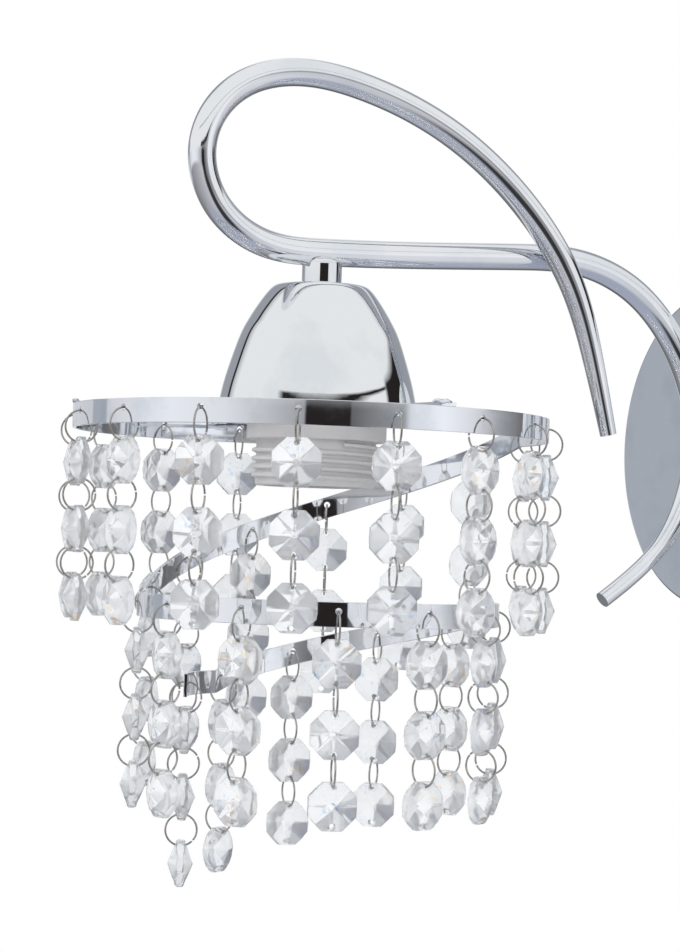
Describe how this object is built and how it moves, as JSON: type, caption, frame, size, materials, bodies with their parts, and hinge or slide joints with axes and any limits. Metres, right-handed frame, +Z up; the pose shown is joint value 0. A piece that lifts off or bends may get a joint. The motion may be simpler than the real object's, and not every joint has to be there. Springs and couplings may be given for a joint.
{
  "type": "crystal wall sconce",
  "caption": "Chrome wall light: round canopy, one looping tube arm, screw lampholder under a bell, and a falling spiral strip hung with faceted crystal strands.",
  "frame": {"origin": "centre of the canopy's back face, on the wall", "axes": "+Z up, -Y out of the wall towards the lamp, +X to the right seen along +Y from in front"},
  "size_m": [0.1542, 0.2467, 0.254],
  "materials": {
    "brass": "satin",
    "ceramic": "unglazed",
    "chrome": "polished",
    "crystal": "clear cut",
    "lead_blue": "smooth insulation",
    "lead_brown": "smooth insulation",
    "lead_green": "smooth insulation",
    "nickel_shell": "nickel plated",
    "white_plastic": "satin moulded",
    "zinc_steel": "zinc plated"
  },
  "bodies": {
    "sconce": {"arm_boss": "chrome", "arm_nut": "zinc_steel", "arm_tube": "chrome", "arm_washer": "zinc_steel", "bell_cup": "chrome", "bell_nut": "zinc_steel", "canopy_screws": "chrome", "centre_contact": "brass", "contact_plate": "ceramic", "crossbar": "zinc_steel", "earth_lead": "lead_green", "earth_lug": "brass", "earth_screw": "zinc_steel", "lamp_nipple": "zinc_steel", "lamp_post": "chrome", "lamp_shell": "nickel_shell", "lampholder_cap": "white_plastic", "lampholder_skirt": "white_plastic", "live_lead": "lead_brown", "neutral_lead": "lead_blue", "ring_nut": "white_plastic", "spider": "chrome", "spiral_strip": "chrome", "terminal_block": "white_plastic", "terminal_screws": "zinc_steel", "terminal_sleeves": "brass", "wall_canopy": "chrome"},
    "strand_01": {"strand_01": "crystal"},
    "strand_02": {"strand_02": "crystal"},
    "strand_03": {"strand_03": "crystal"},
    "strand_04": {"strand_04": "crystal"},
    "strand_05": {"strand_05": "crystal"},
    "strand_06": {"strand_06": "crystal"},
    "strand_07": {"strand_07": "crystal"},
    "strand_08": {"strand_08": "crystal"},
    "strand_09": {"strand_09": "crystal"},
    "strand_10": {"strand_10": "crystal"},
    "strand_11": {"strand_11": "crystal"},
    "strand_12": {"strand_12": "crystal"},
    "strand_13": {"strand_13": "crystal"},
    "strand_14": {"strand_14": "crystal"},
    "strand_15": {"strand_15": "crystal"},
    "strand_16": {"strand_16": "crystal"},
    "strand_17": {"strand_17": "crystal"},
    "strand_18": {"strand_18": "crystal"},
    "strand_19": {"strand_19": "crystal"},
    "strand_20": {"strand_20": "crystal"},
    "strand_21": {"strand_21": "crystal"},
    "strand_22": {"strand_22": "crystal"},
    "strand_23": {"strand_23": "crystal"},
    "strand_24": {"strand_24": "crystal"},
    "strand_25": {"strand_25": "crystal"},
    "strand_26": {"strand_26": "crystal"},
    "strand_27": {"strand_27": "crystal"},
    "strand_28": {"strand_28": "crystal"},
    "strand_29": {"strand_29": "crystal"},
    "strand_30": {"strand_30": "crystal"},
    "strand_31": {"strand_31": "crystal"}
  },
  "joints": [
    {"name": "strand_01_swing", "type": "hinge", "parent": "sconce", "child": "strand_01", "pos_m": [-0.07186, -0.16167, 0.0012], "axis": [0.1097, 0.994, 0], "range_deg": [-1, 25]},
    {"name": "strand_02_swing", "type": "hinge", "parent": "sconce", "child": "strand_02", "pos_m": [-0.06934, -0.19007, 0.0012], "axis": [-0.2832, 0.9591, 0], "range_deg": [-4, 25]},
    {"name": "strand_03_swing", "type": "hinge", "parent": "sconce", "child": "strand_03", "pos_m": [-0.05623, -0.21505, 0.0012], "axis": [-0.6286, 0.7777, 0], "range_deg": [-8, 25]},
    {"name": "strand_04_swing", "type": "hinge", "parent": "sconce", "child": "strand_04", "pos_m": [-0.03455, -0.23311, 0.0012], "axis": [-0.8784, 0.4779, 0], "range_deg": [-8, 25]},
    {"name": "strand_05_swing", "type": "hinge", "parent": "sconce", "child": "strand_05", "pos_m": [-0.00762, -0.2415, 0.0012], "axis": [-0.9944, 0.1054, 0], "range_deg": [-8, 25]},
    {"name": "strand_06_swing", "type": "hinge", "parent": "sconce", "child": "strand_06", "pos_m": [0.02047, -0.23894, 0.0012], "axis": [-0.9591, -0.2832, 0], "range_deg": [-8, 25]},
    {"name": "strand_07_swing", "type": "hinge", "parent": "sconce", "child": "strand_07", "pos_m": [0.04545, -0.22583, 0.0012], "axis": [-0.7777, -0.6286, 0], "range_deg": [-8, 25]},
    {"name": "strand_08_swing", "type": "hinge", "parent": "sconce", "child": "strand_08", "pos_m": [0.06351, -0.20415, 0.0012], "axis": [-0.4779, -0.8784, 0], "range_deg": [-8, 25]},
    {"name": "strand_09_swing", "type": "hinge", "parent": "sconce", "child": "strand_09", "pos_m": [0.0719, -0.17722, 0.0012], "axis": [-0.1054, -0.9944, 0], "range_deg": [-8, 25]},
    {"name": "strand_10_swing", "type": "hinge", "parent": "sconce", "child": "strand_10", "pos_m": [0.06925, -0.14882, 0.0012], "axis": [0.2874, -0.9578, 0], "range_deg": [-8, 25]},
    {"name": "strand_11_swing", "type": "hinge", "parent": "sconce", "child": "strand_11", "pos_m": [0.05603, -0.1239, 0.0012], "axis": [0.632, -0.7749, 0], "range_deg": [-7, 25]},
    {"name": "strand_12_swing", "type": "hinge", "parent": "sconce", "child": "strand_12", "pos_m": [0.03428, -0.10594, 0.0012], "axis": [0.8805, -0.4741, 0], "range_deg": [-8, 25]},
    {"name": "strand_13_swing", "type": "hinge", "parent": "sconce", "child": "strand_13", "pos_m": [0.00731, -0.09767, 0.0012], "axis": [0.9949, -0.1011, 0], "range_deg": [-8, 25]},
    {"name": "strand_14_swing", "type": "hinge", "parent": "sconce", "child": "strand_14", "pos_m": [-0.01954, -0.10176, -0.00614], "axis": [0.9374, 0.3483, 0], "range_deg": [-8, 25]},
    {"name": "strand_15_swing", "type": "hinge", "parent": "sconce", "child": "strand_15", "pos_m": [-0.04129, -0.11496, -0.01439], "axis": [0.7393, 0.6734, 0], "range_deg": [-8, 25]},
    {"name": "strand_16_swing", "type": "hinge", "parent": "sconce", "child": "strand_16", "pos_m": [-0.05641, -0.13572, -0.02313], "axis": [0.4105, 0.9119, 0], "range_deg": [-8, 25]},
    {"name": "strand_17_swing", "type": "hinge", "parent": "sconce", "child": "strand_17", "pos_m": [-0.06174, -0.16046, -0.03216], "axis": [-0.0026, 1, 0], "range_deg": [-8, 3]},
    {"name": "strand_18_swing", "type": "hinge", "parent": "sconce", "child": "strand_18", "pos_m": [-0.05616, -0.18501, -0.04157], "axis": [-0.433, 0.9014, 0], "range_deg": [-8, 20]},
    {"name": "strand_19_swing", "type": "hinge", "parent": "sconce", "child": "strand_19", "pos_m": [-0.04047, -0.20452, -0.05136], "axis": [-0.7897, 0.6135, 0], "range_deg": [-8, 25]},
    {"name": "strand_20_swing", "type": "hinge", "parent": "sconce", "child": "strand_20", "pos_m": [-0.0175, -0.21734, -0.0553], "axis": [-0.948, 0.3181, 0], "range_deg": [-8, 25]},
    {"name": "strand_21_swing", "type": "hinge", "parent": "sconce", "child": "strand_21", "pos_m": [0.01045, -0.2192, -0.0553], "axis": [-0.9818, -0.19, 0], "range_deg": [-8, 25]},
    {"name": "strand_22_swing", "type": "hinge", "parent": "sconce", "child": "strand_22", "pos_m": [0.03587, -0.2069, -0.0553], "axis": [-0.7581, -0.6521, 0], "range_deg": [-8, 25]},
    {"name": "strand_23_swing", "type": "hinge", "parent": "sconce", "child": "strand_23", "pos_m": [0.05175, -0.18383, -0.0553], "axis": [-0.3387, -0.9409, 0], "range_deg": [-8, 25]},
    {"name": "strand_24_swing", "type": "hinge", "parent": "sconce", "child": "strand_24", "pos_m": [0.05421, -0.15593, -0.0553], "axis": [0.1685, -0.9857, 0], "range_deg": [-8, 25]},
    {"name": "strand_25_swing", "type": "hinge", "parent": "sconce", "child": "strand_25", "pos_m": [0.04247, -0.13025, -0.0553], "axis": [0.6354, -0.7722, 0], "range_deg": [-8, 25]},
    {"name": "strand_26_swing", "type": "hinge", "parent": "sconce", "child": "strand_26", "pos_m": [0.01976, -0.11387, -0.0553], "axis": [0.9333, -0.3592, 0], "range_deg": [-8, 25]},
    {"name": "strand_27_swing", "type": "hinge", "parent": "sconce", "child": "strand_27", "pos_m": [-0.00775, -0.11333, -0.05844], "axis": [0.9488, 0.316, 0], "range_deg": [-8, 25]},
    {"name": "strand_28_swing", "type": "hinge", "parent": "sconce", "child": "strand_28", "pos_m": [-0.03044, -0.12848, -0.06451], "axis": [0.6509, 0.7592, 0], "range_deg": [-8, 25]},
    {"name": "strand_29_swing", "type": "hinge", "parent": "sconce", "child": "strand_29", "pos_m": [-0.0416, -0.15346, -0.07114], "axis": [0.1227, 0.9924, 0], "range_deg": [-8, 25]},
    {"name": "strand_30_swing", "type": "hinge", "parent": "sconce", "child": "strand_30", "pos_m": [-0.03646, -0.1799, -0.07841], "axis": [-0.4972, 0.8677, 0], "range_deg": [-8, 25]},
    {"name": "strand_31_swing", "type": "hinge", "parent": "sconce", "child": "strand_31", "pos_m": [-0.01792, -0.20064, -0.0798], "axis": [-0.8784, 0.4779, 0], "range_deg": [-8, 16]}
  ]
}
